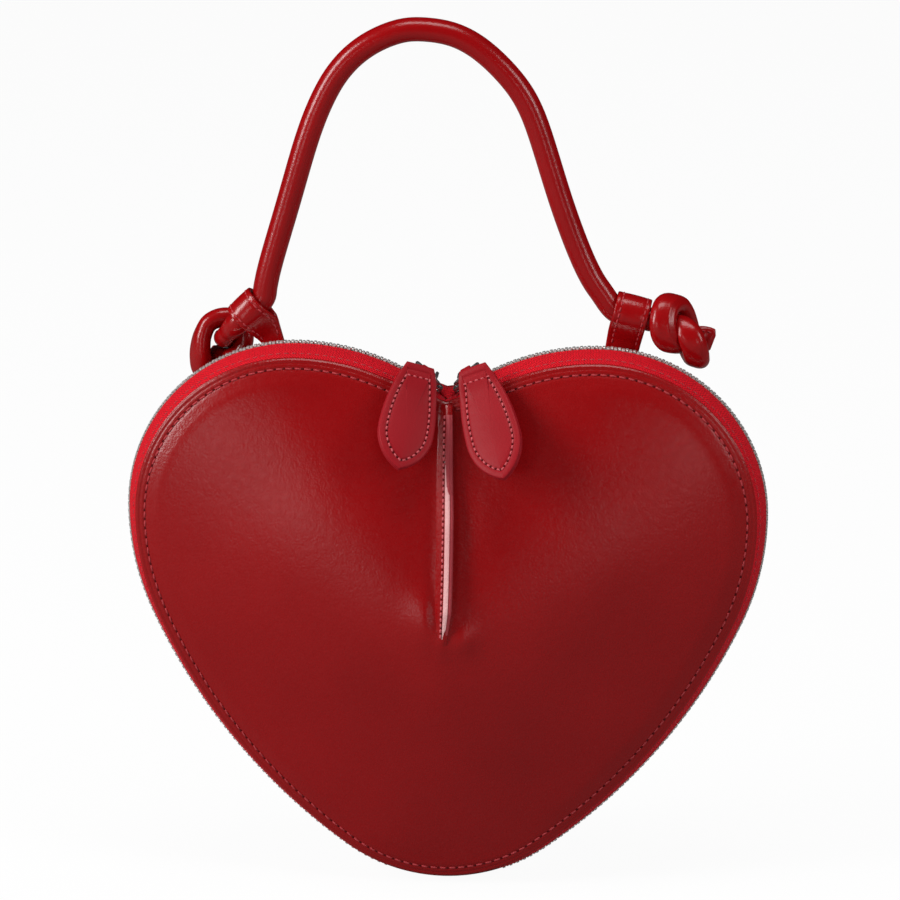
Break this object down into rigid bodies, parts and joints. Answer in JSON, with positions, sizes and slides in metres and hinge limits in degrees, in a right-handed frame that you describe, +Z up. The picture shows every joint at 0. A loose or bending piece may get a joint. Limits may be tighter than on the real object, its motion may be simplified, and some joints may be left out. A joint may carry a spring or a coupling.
{
  "type": "heart-shaped shoulder bag",
  "caption": "Heart-shaped leather bag with a domed front and back, a zip all round the rim with two head-to-head sliders and leaf tags, and a short knotted top handle.",
  "frame": {"origin": "underside of the handle, straight above the middle of the bag, where a hook or a hand carries it", "axes": "+X to the viewer's right with the front in view, front panel faces -Y, +Z up"},
  "size_m": [0.214, 0.0692, 0.2934],
  "materials": {
    "leather": "smooth semi-gloss deep red",
    "tag_leather": "smooth satin red",
    "lining": "matt woven lining",
    "zip_tape": "bright red herringbone tape",
    "zip_teeth": "polished silver",
    "hardware": "polished dark nickel"
  },
  "bodies": {
    "handle": {"handle_strap": "leather", "loop_left": "leather", "loop_right": "leather"},
    "back": {"back_panel": "leather", "back_dart": "leather", "back_lining": "lining", "back_tape": "zip_tape", "back_teeth": "zip_teeth", "base_gusset": "leather"},
    "front": {"front_panel": "leather", "front_dart": "leather", "front_lining": "lining", "front_tape": "zip_tape", "front_teeth": "zip_teeth"},
    "slider_left": {"slider_left": "hardware"},
    "slider_right": {"slider_right": "hardware"},
    "ring_left": {"ring_left": "hardware"},
    "ring_right": {"ring_right": "hardware"},
    "tag_left": {"tag_left": "tag_leather"},
    "tag_right": {"tag_right": "tag_leather"}
  },
  "joints": [
    {"name": "handle_swing", "type": "hinge", "parent": "handle", "child": "back", "pos_m": [0, 0, -0.098], "axis": [1, 0, 0], "range_deg": [-36, 5]},
    {"name": "front_open", "type": "hinge", "parent": "back", "child": "front", "pos_m": [0, -0.007, -0.28381], "axis": [1, 0, 0], "range_deg": [0, 35], "deforming": ["base_gusset", "front_teeth", "back_teeth"]},
    {"name": "slider_right_travel", "type": "hinge", "parent": "front", "child": "slider_right", "pos_m": [0.05, -0.007, -0.17621], "axis": [0, 1, 0], "range_deg": [0, 30], "deforming": ["front_teeth", "back_teeth"]},
    {"name": "ring_right_swing", "type": "hinge", "parent": "slider_right", "child": "ring_right", "pos_m": [0.00447, -0.0081, -0.11097], "axis": [-0.6094, -0.6691, -0.4253], "range_deg": [0, 45]},
    {"name": "tag_right_swing", "type": "hinge", "parent": "ring_right", "child": "tag_right", "pos_m": [0.00695, -0.0162, -0.10647], "axis": [-0.8572, 0, -0.515], "range_deg": [0, 50]},
    {"name": "slider_left_travel", "type": "hinge", "parent": "front", "child": "slider_left", "pos_m": [-0.05, -0.007, -0.17621], "axis": [0, -1, 0], "range_deg": [0, 30], "deforming": ["front_teeth", "back_teeth"]},
    {"name": "ring_left_swing", "type": "hinge", "parent": "slider_left", "child": "ring_left", "pos_m": [-0.00447, -0.0081, -0.11097], "axis": [-0.6094, 0.6691, 0.4253], "range_deg": [0, 45]},
    {"name": "tag_left_swing", "type": "hinge", "parent": "ring_left", "child": "tag_left", "pos_m": [-0.00695, -0.0162, -0.10647], "axis": [-0.8572, 0, 0.515], "range_deg": [0, 50]}
  ]
}
